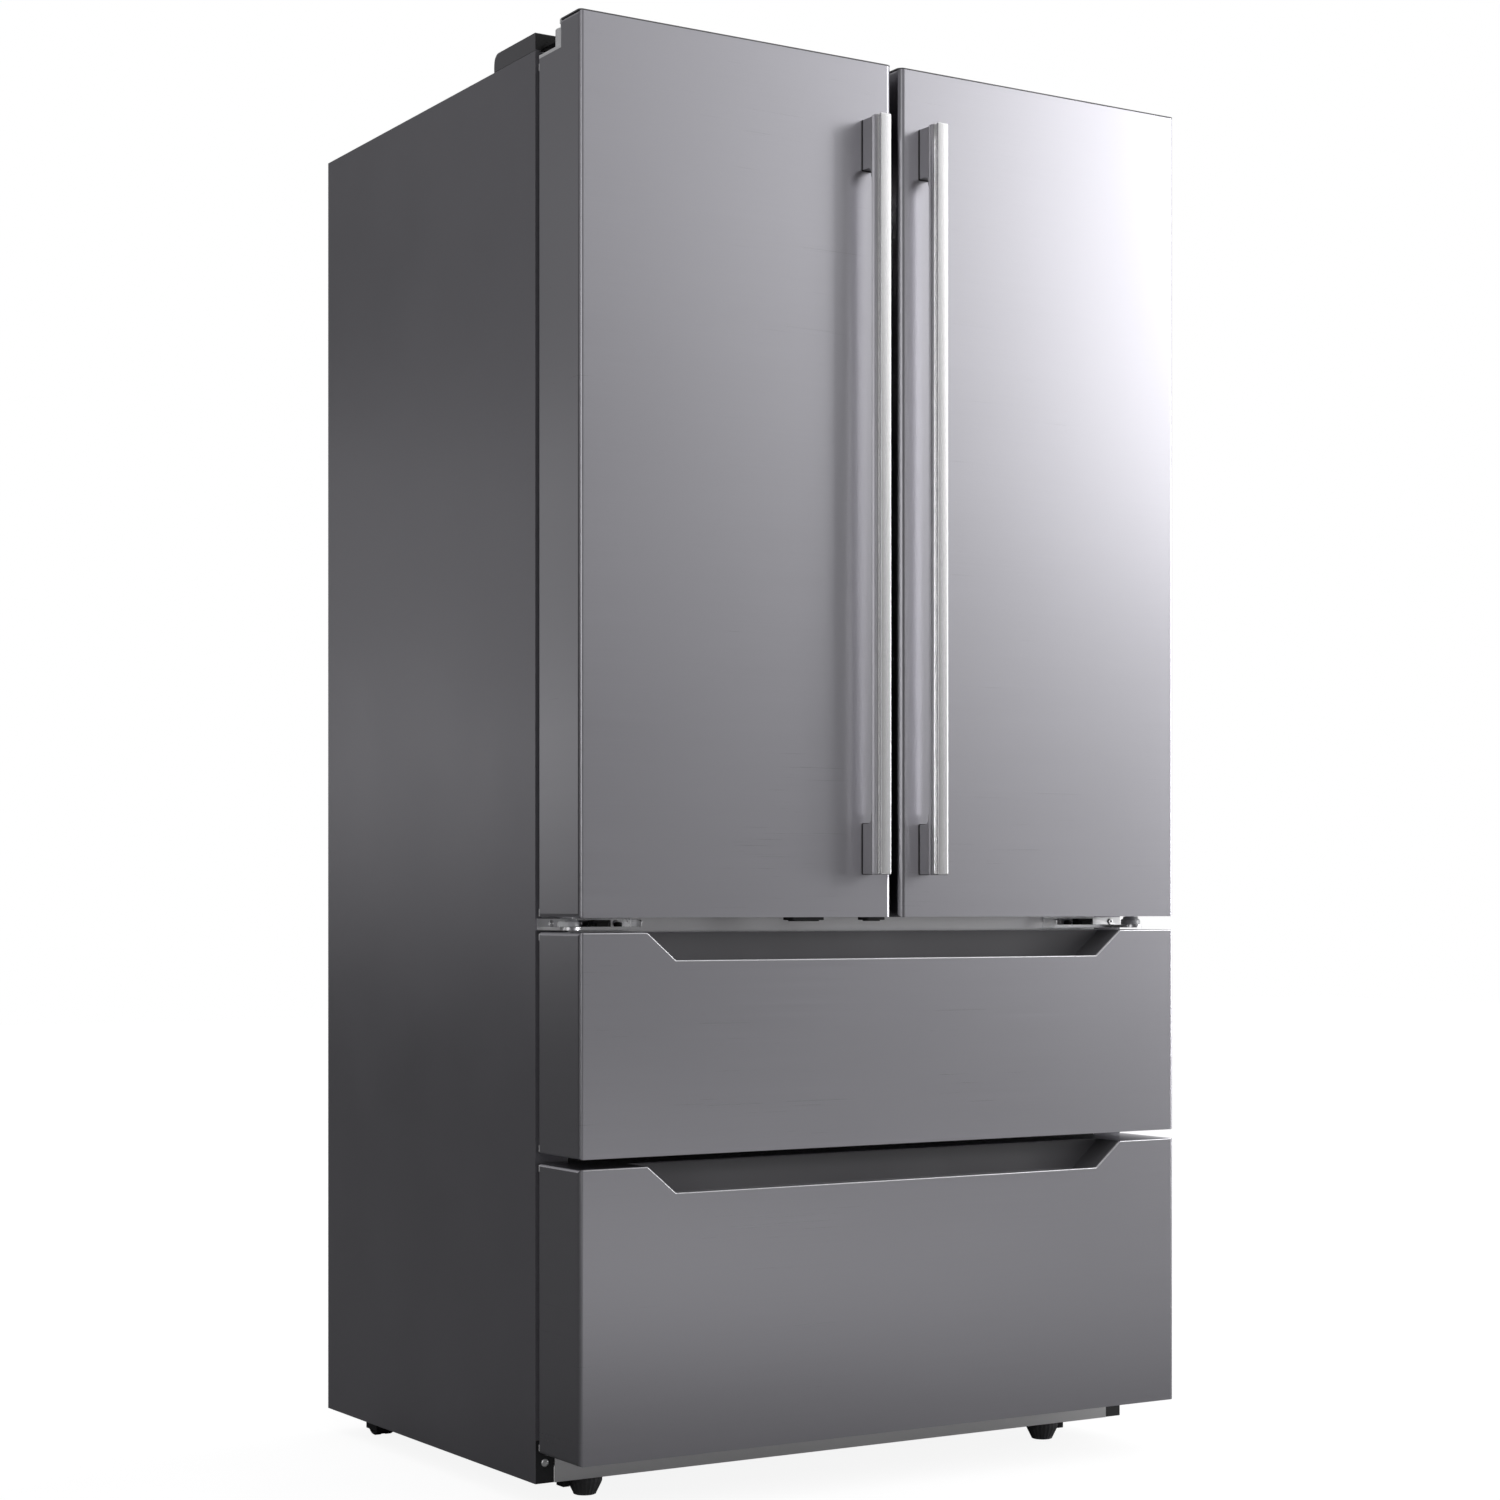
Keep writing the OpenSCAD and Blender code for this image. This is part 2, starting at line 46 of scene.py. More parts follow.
# ------------------------------------------------------------------ materials
def new_mat(name):
    m = bpy.data.materials.new(name)
    m.use_nodes = True
    nt = m.node_tree
    for n in list(nt.nodes):
        nt.nodes.remove(n)
    out = nt.nodes.new("ShaderNodeOutputMaterial")
    b = nt.nodes.new("ShaderNodeBsdfPrincipled")
    nt.links.new(b.outputs[0], out.inputs[0])
    return m, nt, b


def noise(nt, scale_xyz, scale=1.0, detail=3.0, rough=0.5):
    tc = nt.nodes.new("ShaderNodeTexCoord")
    mp = nt.nodes.new("ShaderNodeMapping")
    mp.inputs["Scale"].default_value = scale_xyz
    nz = nt.nodes.new("ShaderNodeTexNoise")
    nz.inputs["Scale"].default_value = scale
    nz.inputs["Detail"].default_value = detail
    nz.inputs["Roughness"].default_value = rough
    nt.links.new(tc.outputs["Object"], mp.inputs[0])
    nt.links.new(mp.outputs[0], nz.inputs[0])
    return nz.outputs[0]


def remap(nt, src, lo, hi, a=0.3, b=0.7):
    r = nt.nodes.new("ShaderNodeMapRange")
    r.inputs[1].default_value, r.inputs[2].default_value = a, b
    r.inputs[3].default_value, r.inputs[4].default_value = lo, hi
    nt.links.new(src, r.inputs[0])
    return r.outputs[0]


def ramp(nt, src, stops):
    r = nt.nodes.new("ShaderNodeValToRGB")
    el = r.color_ramp.elements
    el[0].position, el[0].color = stops[0][0], (*stops[0][1], 1)
    el[1].position, el[1].color = stops[-1][0], (*stops[-1][1], 1)
    for p, c in stops[1:-1]:
        e = el.new(p)
        e.color = (*c, 1)
    nt.links.new(src, r.inputs[0])
    return r.outputs[0]


def add(nt, a, b, op="ADD", vb=None):
    n = nt.nodes.new("ShaderNodeMath")
    n.operation = op
    nt.links.new(a, n.inputs[0])
    if b is None:
        n.inputs[1].default_value = vb
    else:
        nt.links.new(b, n.inputs[1])
    return n.outputs[0]


def bump(nt, b, h, strength, dist=0.0004):
    n = nt.nodes.new("ShaderNodeBump")
    n.inputs["Strength"].default_value = strength
    n.inputs["Distance"].default_value = dist
    nt.links.new(h, n.inputs["Height"])
    nt.links.new(n.outputs[0], b.inputs["Normal"])


def scaled(c, k):
    return tuple(min(1.0, v * k) for v in c)


def metal(name, base, rough, grain=(3, 3, 700), var=0.06, rvar=0.05, bmp=0.12, metallic=1.0, cloud=True, side=0.0):
    """brushed metal: fine stretched grain, soft clouding, both in colour and in roughness"""
    m, nt, b = new_mat(name)
    g = noise(nt, grain, 1.0, 4.0, 0.62)
    c = noise(nt, (1.7, 1.7, 1.7), 1.0, 2.0)
    mix = add(nt, add(nt, g, None, "MULTIPLY", 0.75), add(nt, c, None, "MULTIPLY", 0.25 if cloud else 0.05))
    col = ramp(nt, mix, [(0.30, scaled(base, 1 - var)), (0.5, base), (0.70, scaled(base, 1 + var))])
    if side:
        # painted shade: faces turned to the sides (±X) get a darker colour than the fronts, for the dimmer light on the
        # door and drawer sides
        tc = nt.nodes.new("ShaderNodeTexCoord")
        sep = nt.nodes.new("ShaderNodeSeparateXYZ")
        nt.links.new(tc.outputs["Normal"], sep.inputs[0])
        ab = nt.nodes.new("ShaderNodeMath")
        ab.operation = "ABSOLUTE"
        nt.links.new(sep.outputs[0], ab.inputs[0])
        vs = nt.nodes.new("ShaderNodeVectorMath")
        vs.operation = "SCALE"
        nt.links.new(col, vs.inputs[0])
        nt.links.new(remap(nt, ab.outputs[0], 1.0, 1.0 - side), vs.inputs["Scale"])
        col = vs.outputs[0]
    nt.links.new(col, b.inputs["Base Color"])
    nt.links.new(remap(nt, mix, rough - rvar, rough + rvar), b.inputs["Roughness"])
    b.inputs["Metallic"].default_value = metallic
    bump(nt, b, g, bmp, 0.00025)
    return m


def plastic(name, base, rough, scale=900, var=0.05, bmp=0.12, rvar=0.07, **kw):
    """moulded plastic or paint: fine pebble, large soft clouding, a little uneven gloss"""
    m, nt, b = new_mat(name)
    g = noise(nt, (scale,) * 3, 1.0, 2.0)
    c = noise(nt, (6, 6, 6), 1.0, 3.0)
    mix = add(nt, add(nt, g, None, "MULTIPLY", 0.45), add(nt, c, None, "MULTIPLY", 0.55))
    nt.links.new(ramp(nt, mix, [(0.35, scaled(base, 1 - var)), (0.65, scaled(base, 1 + var))]), b.inputs["Base Color"])
    nt.links.new(remap(nt, mix, rough - rvar, rough + rvar), b.inputs["Roughness"])
    for k, v in kw.items():
        b.inputs[k.replace("_", " ")].default_value = v
    bump(nt, b, g, bmp, 0.0003)
    return m


def clear(name, tint, rough, alpha):
    """clear moulded plastic or glass, thin walled, with faint haze and flow marks"""
    m, nt, b = new_mat(name)
    c = noise(nt, (9, 9, 30), 1.0, 3.0)
    nt.links.new(ramp(nt, c, [(0.3, scaled(tint, 0.95)), (0.7, tint)]), b.inputs["Base Color"])
    nt.links.new(remap(nt, c, rough * 0.6, rough * 1.6), b.inputs["Roughness"])
    nt.links.new(remap(nt, c, alpha * 0.9, min(1, alpha * 1.1)), b.inputs["Alpha"])
    b.inputs["IOR"].default_value = 1.49
    m.surface_render_method = "BLENDED"
    return m


# side=0.33 paints shade on the sides of the door and drawer skins
STEEL = metal("stainless_front", (0.505, 0.498, 0.534), 0.30, (3, 3, 1300), 0.018, 0.03, 0.015, side=0.33)
HANDLE = metal("handle_satin", (0.90, 0.895, 0.90), 0.25, (1500, 1500, 26), 0.02, 0.02, 0.03, cloud=False)
# painted shade: the handle end blocks are the same satin metal as the bars, coloured darker for the shade on their flat
# sides
HANDLE_SHADED = metal("handle_block_painted_shade", (0.36, 0.355, 0.365), 0.34, (1500, 1500, 26), 0.04, 0.03, 0.04, cloud=False)
SIDE = plastic("side_paint", (0.225, 0.220, 0.240), 0.33, 700, 0.05, 0.16, 0.04, Metallic=0.75)
COVER = plastic("cover_paint", (0.110, 0.108, 0.116), 0.45, 900, 0.07, 0.14, 0.05)
SILVER = metal("silver_trim", (0.97, 0.965, 0.972), 0.30, (3, 3, 1500), 0.008, 0.012, 0.003, 1.0)
ZINC = metal("bright_zinc", (0.93, 0.93, 0.94), 0.30, (40, 40, 40), 0.03, 0.05, 0.02, 1.0)
GALV = metal("galvanised", (0.56, 0.57, 0.58), 0.46, (30, 30, 30), 0.09, 0.07, 0.05, 0.85)
PITCH = plastic("matt_black", (0.005, 0.005, 0.005), 0.8, 900, 0.2, 0.1, 0.05)
BLACKM = plastic("black_steel", (0.016, 0.016, 0.018), 0.5, 700, 0.25, 0.2, 0.1)
BLACKP = plastic("black_plastic", (0.012, 0.012, 0.013), 0.55, 1100, 0.3, 0.2, 0.1)
DARKP = plastic("pocket_plastic", (0.118, 0.116, 0.124), 0.40, 1000, 0.10, 0.12, 0.06)
TRIMG = plastic("trim_grey", (0.78, 0.78, 0.79), 0.5, 800, 0.06, 0.15, 0.08)
GREYP = plastic("grey_plastic", (0.20, 0.20, 0.205), 0.5, 800, 0.12, 0.2, 0.08)
FOOTP = plastic("foot_plastic", (0.150, 0.150, 0.155), 0.45, 800, 0.16, 0.2, 0.1)
WHITE = plastic("liner_white", (0.84, 0.845, 0.85), 0.26, 500, 0.02, 0.05, 0.05, Coat_Weight=0.25, Coat_Roughness=0.12)
BASKET = plastic("basket_white", (0.74, 0.76, 0.77), 0.36, 600, 0.04, 0.08, 0.06, Subsurface_Weight=0.08)
FRAMEP = plastic("shelf_trim", (0.76, 0.77, 0.78), 0.3, 700, 0.035, 0.07, 0.06)
GASKET = plastic("gasket_black", (0.030, 0.030, 0.032), 0.55, 1400, 0.12, 0.22, 0.08)
FOAM = plastic("foam", (0.72, 0.58, 0.30), 0.85, 260, 0.18, 0.5, 0.08)
CHROME = metal("hinge_plate", (0.86, 0.86, 0.87), 0.33, (35, 35, 35), 0.05, 0.06, 0.04, 0.8)
ALU = metal("aluminium", (0.70, 0.71, 0.72), 0.35, (90, 90, 90), 0.10, 0.08, 0.06)
BIN = clear("bin_clear", (0.84, 0.90, 0.95), 0.10, 0.36)
CRISP = clear("crisper_clear", (0.80, 0.88, 0.93), 0.22, 0.50)
GLASS = clear("shelf_glass", (0.70, 0.86, 0.83), 0.05, 0.30)
PANELB = plastic("panel_black", (0.02, 0.022, 0.026), 0.16, 900, 0.2, 0.02, 0.04, Coat_Weight=0.6, Coat_Roughness=0.06)
lm, lnt, lb = new_mat("led_lens")
lb.inputs["Base Color"].default_value = (0.95, 0.95, 0.92, 1)
lnt.links.new(ramp(lnt, noise(lnt, (300, 300, 300), 1.0, 2.0), [(0.3, (0.86, 0.87, 0.84)), (0.7, (0.97, 0.97, 0.94))]), lb.inputs["Base Color"])
lb.inputs["Roughness"].default_value = 0.35
lb.inputs["Emission Color"].default_value = (1.0, 0.98, 0.93, 1)
lb.inputs["Emission Strength"].default_value = 14
LENS = lm

# ------------------------------------------------------------------ CAD nodes: material and edge finish
# node: (material, bevel width in metres or 0, segments)
FINISH = {
    "cabinet_shell": (SIDE, 0.0010, 2), "back_panel": (GALV, 0.0004, 1), "insulation": (FOAM, 0.0, 1),
    "fridge_liner": (WHITE, 0.0022, 3), "freezer_liner": (WHITE, 0.0022, 3), "air_ducts": (WHITE, 0.0018, 3),
    "divider_trim": (SILVER, 0.0004, 2), "freezer_rail": (BLACKM, 0.0006, 2), "base_frame": (BLACKM, 0.0003, 2),
    "toe_grille": (SILVER, 0.0003, 2), "hinge_covers": (COVER, 0.0016, 3), "top_hinges": (PITCH, 0.0006, 2),
    "middle_hinges": (ZINC, 0.0006, 2), "machine_cover": (GALV, 0.0004, 1), "compressor": (BLACKM, 0.0010, 3),
    "condenser": (BLACKM, 0.0, 1), "evaporator": (ALU, 0.0, 1), "drain_pan": (BLACKP, 0.0006, 2),
    "cord_gland": (BLACKP, 0.0012, 3), "control_panel": (PANELB, 0.0010, 3), "light_lens": (LENS, 0.0012, 3),
    "slide_outers": (GALV, 0.0004, 1), "screws": (CHROME, 0.0003, 2),
    "upper_slide_middles": (GALV, 0.0003, 1), "lower_slide_middles": (GALV, 0.0003, 1),
    "upper_drawer_rails": (GALV, 0.0003, 1), "lower_drawer_rails": (GALV, 0.0003, 1),
    "shelf_tracks": (GALV, 0.0003, 1),
    "mullion": (COVER, 0.0010, 3), "shelf_glasses": (GLASS, 0.0005, 2), "shelf_frames": (FRAMEP, 0.0008, 2),
    "evaporator_fan": (GREYP, 0.0004, 1), "condenser_fan": (BLACKP, 0.0004, 1),
}


def material_for(n):
    if n in FINISH:
        return FINISH[n]
    k = n.lower()
    if "skin" in k:
        return STEEL, 0.0009, 3
    if "handle" in k:
        return HANDLE, 0.0018, 4
    if "gasket" in k:
        return GASKET, 0.0010, 2
    if "pocket" in k:
        return DARKP, 0.0006, 2
    if "panel" in k or "core" in k:
        return WHITE, 0.0018, 3
    if "screw" in k:
        return CHROME, 0.0003, 2
    if "crisper" in k:
        return CRISP, 0.0008, 2
    if "bin" in k or "dairy" in k:
        return BIN, 0.0006, 2
    if "glass" in k:
        return GLASS, 0.0005, 2
    if "shelf" in k or "frame" in k or "deck" in k:
        return FRAMEP, 0.0008, 2
    if "basket" in k or "tray" in k:
        return BASKET, 0.0008, 2
    if "foot" in k:
        return FOOTP, 0.0006, 2
    if "roller" in k:
        return BLACKP, 0.0008, 2
    if "fan" in k:
        return GREYP, 0.0004, 1
    if "hinge" in k or "pin" in k:
        return CHROME, 0.0004, 2
    if "mullion" in k:
        return COVER, 0.0010, 3
    return GREYP, 0.0004, 1


def edge_finish(o, width, seg, limit=38):
    """smooth shading and small rounded edges on a CAD node, as modifiers only"""
    for p in o.data.polygons:
        p.use_smooth = True
    w = o.modifiers.new("weld", "WELD")
    w.merge_threshold = 1e-5
    if width > 0:
        b = o.modifiers.new("edge", "BEVEL")
        b.width = width
        b.segments = seg
        b.limit_method = "ANGLE"
        b.angle_limit = math.radians(limit)
        b.use_clamp_overlap = True
        b.harden_normals = False
        b.miter_outer = "MITER_ARC"
    n = o.modifiers.new("normals", "WEIGHTED_NORMAL")
    n.keep_sharp = False
    n.weight = 80


for name, o in NODES.items():
    if o.type != "MESH":
        continue
    m, width, seg = material_for(name)
    o.data.materials.clear()
    o.data.materials.append(m)
    edge_finish(o, width, seg)

# ------------------------------------------------------------------ camera
cam_d = bpy.data.cameras.new("camera")
cam = bpy.data.objects.new("camera", cam_d)
COL.objects.link(cam)
cam.location = (-2.078, -3.363, 0.735)
cam.rotation_euler = (math.radians(90), 0, math.radians(-31.7))
cam_d.lens = 69.3
cam_d.sensor_width = 36
cam_d.shift_y = 0.1034
cam_d.clip_end = 60
scene.camera = cam


# ------------------------------------------------------------------ world, floor and lights
scene.view_settings.view_transform = "Standard"
scene.view_settings.look = "None"
world = bpy.data.worlds.new("studio")
scene.world = world
world.use_nodes = True
wnt = world.node_tree
for n in list(wnt.nodes):
    wnt.nodes.remove(n)
wout = wnt.nodes.new("ShaderNodeOutputWorld")
wtc = wnt.nodes.new("ShaderNodeTexCoord")
wsep = wnt.nodes.new("ShaderNodeSeparateXYZ")
wnt.links.new(wtc.outputs["Generated"], wsep.inputs[0])


def wrange(sock, a, b, c, d):
    n = wnt.nodes.new("ShaderNodeMapRange")
    n.interpolation_type = "SMOOTHSTEP"
    for i, v in zip((1, 2, 3, 4), (a, b, c, d)):
        n.inputs[i].default_value = v
    wnt.links.new(sock, n.inputs[0])
    return n.outputs[0]


# soft surround: dark below, brighter towards the top and the right
w_up = wrange(wsep.outputs[2], 0.0, 0.9, 0.03, 0.95)
w_right = wrange(wsep.outputs[0], 0.3, 1.0, 0.0, 0.91)
w_mul = wnt.nodes.new("ShaderNodeMath")
w_mul.operation = "ADD"
wnt.links.new(w_up, w_mul.inputs[0])
wnt.links.new(w_right, w_mul.inputs[1])
wbg = wnt.nodes.new("ShaderNodeBackground")
wbg.inputs[0].default_value = (0.985, 0.985, 1.0, 1)
wnt.links.new(w_mul.outputs[0], wbg.inputs[1])
wwhite = wnt.nodes.new("ShaderNodeBackground")
wwhite.inputs[0].default_value = (1, 1, 1, 1)
wwhite.inputs[1].default_value = 1.0
wlp = wnt.nodes.new("ShaderNodeLightPath")
wmix = wnt.nodes.new("ShaderNodeMixShader")
wnt.links.new(wlp.outputs["Is Camera Ray"], wmix.inputs[0])
wnt.links.new(wbg.outputs[0], wmix.inputs[1])
wnt.links.new(wwhite.outputs[0], wmix.inputs[2])
wnt.links.new(wmix.outputs[0], wout.inputs[0])

# pale floor: near white to look at, with a faint contact shade
fm, fnt, fb = new_mat("floor_pale")
fn = noise(fnt, (3, 3, 3), 1.0, 2.0)
fnt.links.new(ramp(fnt, fn, [(0.3, (0.14, 0.14, 0.14)), (0.7, (0.16, 0.16, 0.16))]), fb.inputs["Base Color"])
fb.inputs["Roughness"].default_value = 0.95
fb.inputs["Specular IOR Level"].default_value = 0.0
fout = next(n for n in fnt.nodes if n.type == "OUTPUT_MATERIAL")
fem = fnt.nodes.new("ShaderNodeEmission")
fem.inputs[0].default_value = (1, 1, 1, 1)
fem.inputs[1].default_value = 0.90
fadd = fnt.nodes.new("ShaderNodeAddShader")
fnt.links.new(fb.outputs[0], fadd.inputs[0])
fnt.links.new(fem.outputs[0], fadd.inputs[1])
flp = fnt.nodes.new("ShaderNodeLightPath")
fmix = fnt.nodes.new("ShaderNodeMixShader")
fnt.links.new(flp.outputs["Is Camera Ray"], fmix.inputs[0])
# painted light: a pool of glow on the floor around (0.6, -2.6), seen only in reflections, so the steel picks up more
# light from below
fgeo = fnt.nodes.new("ShaderNodeNewGeometry")
fdist = fnt.nodes.new("ShaderNodeVectorMath")
fdist.operation = "DISTANCE"
fdist.inputs[1].default_value = (0.6, -2.6, 0.0)
fnt.links.new(fgeo.outputs["Position"], fdist.inputs[0])
fmr = fnt.nodes.new("ShaderNodeMapRange")
fmr.interpolation_type = "SMOOTHSTEP"
for i, v in zip((1, 2, 3, 4), (0.0, 1.8, 0.62, 0.0)):
    fmr.inputs[i].default_value = v
fnt.links.new(fdist.outputs["Value"], fmr.inputs[0])
fglow = fnt.nodes.new("ShaderNodeEmission")
fnt.links.new(fmr.outputs[0], fglow.inputs[1])
fsum = fnt.nodes.new("ShaderNodeAddShader")
fnt.links.new(fb.outputs[0], fsum.inputs[0])
fnt.links.new(fglow.outputs[0], fsum.inputs[1])
fnt.links.new(fsum.outputs[0], fmix.inputs[1])
fnt.links.new(fadd.outputs[0], fmix.inputs[2])
fnt.links.new(fmix.outputs[0], fout.inputs[0])
bm = bmesh.new()
bmesh.ops.create_grid(bm, x_segments=2, y_segments=2, size=14)
fme = bpy.data.meshes.new("floor")
bm.to_mesh(fme)
bm.free()
floor = bpy.data.objects.new("floor", fme)
floor.location = (0, 0, -0.0005)
fme.materials.append(fm)
COL.objects.link(floor)


def area(name, loc, target, size, power, colour=(1, 1, 1)):
    d = bpy.data.lights.new(name, "AREA")
    d.shape = "RECTANGLE"
    d.size, d.size_y = size
    d.energy = power
    d.color = colour
    o = bpy.data.objects.new(name, d)
    COL.objects.link(o)
    o.location = loc
    v = Vector(target) - Vector(loc)
    o.rotation_euler = v.to_track_quat("-Z", "Y").to_euler()
    return o


area("key_right", (4.25, -3.5, 3.0), (0.2, -0.2, 1.3), (1.9, 2.3), 51)
area("low_right", (4.6, -3.2, 1.3), (0.2, -0.2, 0.8), (1.6, 1.6), 6)
area("high_front", (2.6, -4.6, 3.4), (0.2, -0.2, 1.3), (1.8, 1.8), 2.2)
area("side_right", (5.2, -2.2, 1.0), (0.2, -0.2, 0.8), (1.8, 1.6), 69)
area("side_left", (-3.3, 3.9, 2.5), (-0.45, 0, 1.2), (1.4, 1.0), 1.2)
area("floor_bounce", (0.45, -1.05, 0.02), (0.1, -0.2, 0.14), (1.6, 0.4), 0.06)
area("left_front", (-3.0, -4.4, 1.9), (0, -0.3, 1.1), (2.2, 2.4), 26)
area("strip_front_left", (-3.4, -1.5, 1.25), (0, -0.38, 1.2), (0.35, 2.0), 3.0)
area("back_soft", (2.4, 4.8, 2.6), (0, 0.3, 1.0), (2.4, 2.2), 14)
area("strip_left", (-2.1, 3.2, 1.5), (-0.45, 0, 1.1), (1.3, 0.9), 1.7)
area("strip_left_low", (-2.1, 3.2, 0.95), (-0.45, 0, 0.8), (1.3, 0.6), 1.3)

# ------------------------------------------------------------------ detail pieces: helpers, in millimetres
S = 0.001


def arc(cx, cy, r, a0, a1, n=6):
    return [(cx + r * math.cos(math.radians(a0 + (a1 - a0) * i / n)), cy + r * math.sin(math.radians(a0 + (a1 - a0) * i / n))) for i in range(n + 1)]


def rrect(x0, y0, x1, y1, r, n=6):
    """a rectangle with rounded corners, counter-clockwise"""
    r = max(r, 0.01)
    return (arc(x0 + r, y0 + r, r, 180, 270, n) + arc(x1 - r, y0 + r, r, 270, 360, n)
            + arc(x1 - r, y1 - r, r, 0, 90, n) + arc(x0 + r, y1 - r, r, 90, 180, n))


def at(axis, u, v, w):
    """a point from two in-plane coordinates and one along the axis, in metres"""
    if axis == "z":
        return (u * S, v * S, w * S)
    if axis == "y":
        return (u * S, w * S, v * S)
    return (w * S, u * S, v * S)


def skin(bm, loops, close=False, caps=True):
    """faces between rings of the same length; caps closes the first and the last"""
    rings = [[bm.verts.new(p) for p in lp] for lp in loops]
    n = len(rings[0])
    pairs = list(zip(rings, rings[1:])) + ([(rings[-1], rings[0])] if close else [])
    for a, b in pairs:
        for i in range(n):
            j = (i + 1) % n
            bm.faces.new((a[i], a[j], b[j], b[i]))
    if caps and not close:
        bm.faces.new(list(reversed(rings[0])))
        bm.faces.new(rings[-1])
    return rings


def prism(bm, pts, axis, a, b):
    skin(bm, [[at(axis, u, v, w) for u, v in pts] for w in (a, b)])


def block(bm, a, b):
    prism(bm, [(a[0], a[1]), (b[0], a[1]), (b[0], b[1]), (a[0], b[1])], "z", a[2], b[2])


def lathe(bm, prof, cu, cv, axis="z", n=48, mod=None, close=False):
    """profile of (radius, height) turned about an axis; mod(angle, radius, height) reshapes the radius"""
    loops = []
    for r, h in prof:
        lp = []
        for i in range(n):
            t = 2 * math.pi * i / n
            q = mod(t, r, h) if mod else r
            lp.append(at(axis, cu + q * math.cos(t), cv + q * math.sin(t), h))
        loops.append(lp)
    skin(bm, loops, close=close)


def tray(bm, a, b, t, r, draft=0.0, lip=0.0, lip_h=5.0, n=5, dip=None):
    """an open box with rounded corners, drafted walls, a rolled lip and a rounded floor corner"""
    x0, y0, z0 = a
    x1, y1, z1 = b
    d = draft

    def ring(off, z, rad):
        return [at("z", u, v, z) for u, v in rrect(x0 + off, y0 + off, x1 - off, y1 - off, rad, n)]

    loops = [ring(d + 4, z0, r - 1), ring(d + 1.2, z0 + 1.2, r), ring(d, z0 + 4, r)]
    if lip > 0:
        loops += [ring(lip, z1 - lip_h, r), ring(0.3, z1 - lip_h + 0.4, r + lip), ring(0, z1 - lip_h + 1.2, r + lip), ring(0, z1 - 0.8, r + lip), ring(0.6, z1, r + lip)]
        k = lip
    else:
        loops += [ring(0, z1 - 0.6, r), ring(0.5, z1, r)]
        k = 0
    loops += [ring(k + t - 0.5, z1, r), ring(k + t, z1 - 0.7, r), ring(d + t, z0 + t + 4, r), ring(d + t + 1.2, z0 + t + 1.2, r), ring(d + t + 4, z0 + t, r - 1)]
    skin(bm, loops)


def put(name, bm, mat, body, width=0.0, seg=2, limit=38, stands_for=()):
    """turns a bmesh into a piece that rides on a body, with rounded edges and smooth shading"""
    bmesh.ops.recalc_face_normals(bm, faces=bm.faces)
    me = bpy.data.meshes.new(name)
    bm.to_mesh(me)
    bm.free()
    me.materials.append(mat)
    o = bpy.data.objects.new(name, me)
    COL.objects.link(o)
    for q in me.polygons:
        q.use_smooth = True
    if width > 0:
        b = o.modifiers.new("edge", "BEVEL")
        b.width = width
        b.segments = seg
        b.limit_method = "ANGLE"
        b.angle_limit = math.radians(limit)
        b.use_clamp_overlap = True
    w = o.modifiers.new("normals", "WEIGHTED_NORMAL")
    w.keep_sharp = False
    w.weight = 80
    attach(o, body)
    if stands_for:
        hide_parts(*stands_for)
    return o


def hexdist(t, r):
    """radius of a hexagon with that inner radius at angle t"""
    k = (t + math.pi / 6) % (math.pi / 3) - math.pi / 6
    return r / math.cos(k)


def screw(bm, c, axis, sgn, r, h, kind="hex"):
    """a domed screw head with a socket; c is the centre of its seat, axis and sgn say where it faces"""
    u, v, w = {"z": (c[0], c[1], c[2]), "y": (c[0], c[2], c[1]), "x": (c[1], c[2], c[0])}[axis]
    loops = []

    def ring(f, ww):
        return [at(axis, u + f(t) * math.cos(t), v + f(t) * math.sin(t), w + sgn * ww) for t in (2 * math.pi * i / 36 for i in range(36))]

    def socket(t):
        if kind == "hex":
            return hexdist(t, r * 0.42)
        k = abs((t % (math.pi / 2)) - math.pi / 4)
        return r * (0.16 + 0.34 * max(0.0, (k / (math.pi / 4)) ** 6))

    loops = [ring(lambda t: r, 0), ring(lambda t: r, h * 0.35), ring(lambda t: r * 0.94, h * 0.7), ring(lambda t: r * 0.78, h * 0.93),
             ring(lambda t: r * 0.62, h), ring(lambda t: socket(t) * 1.06, h), ring(socket, h * 0.9), ring(lambda t: socket(t) * 0.96, h * 0.25)]
    skin(bm, loops)


